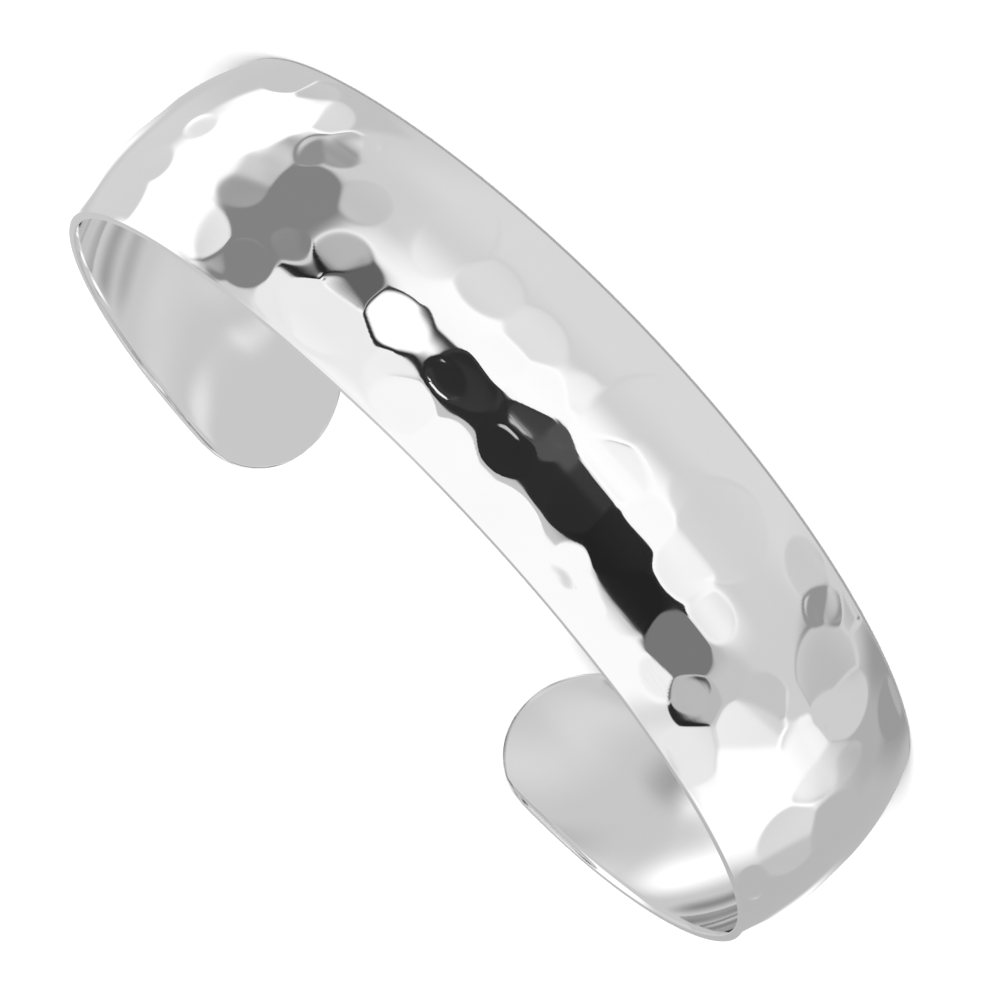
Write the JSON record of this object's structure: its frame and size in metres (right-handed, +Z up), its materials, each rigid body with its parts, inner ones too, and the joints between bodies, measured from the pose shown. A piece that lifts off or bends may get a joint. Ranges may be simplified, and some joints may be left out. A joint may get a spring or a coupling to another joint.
{
  "type": "hammered cuff bangle",
  "caption": "Open cuff bangle: a thin polished domed strip bent round the wrist, with rounded ends and hammer marks over the outside.",
  "frame": {"origin": "middle of the outline seen from above, on the surface that the lower rim rests on", "axes": "+Z up through the wrist hollow, the closed front faces -Y, the gap between the ends faces +Y"},
  "size_m": [0.0622, 0.0546, 0.0145],
  "materials": {
    "polished_silver": "mirror polished, hammered outside, with fine wear scratches"
  },
  "bodies": {
    "root": {"cuff": "polished_silver"}
  },
  "joints": []
}
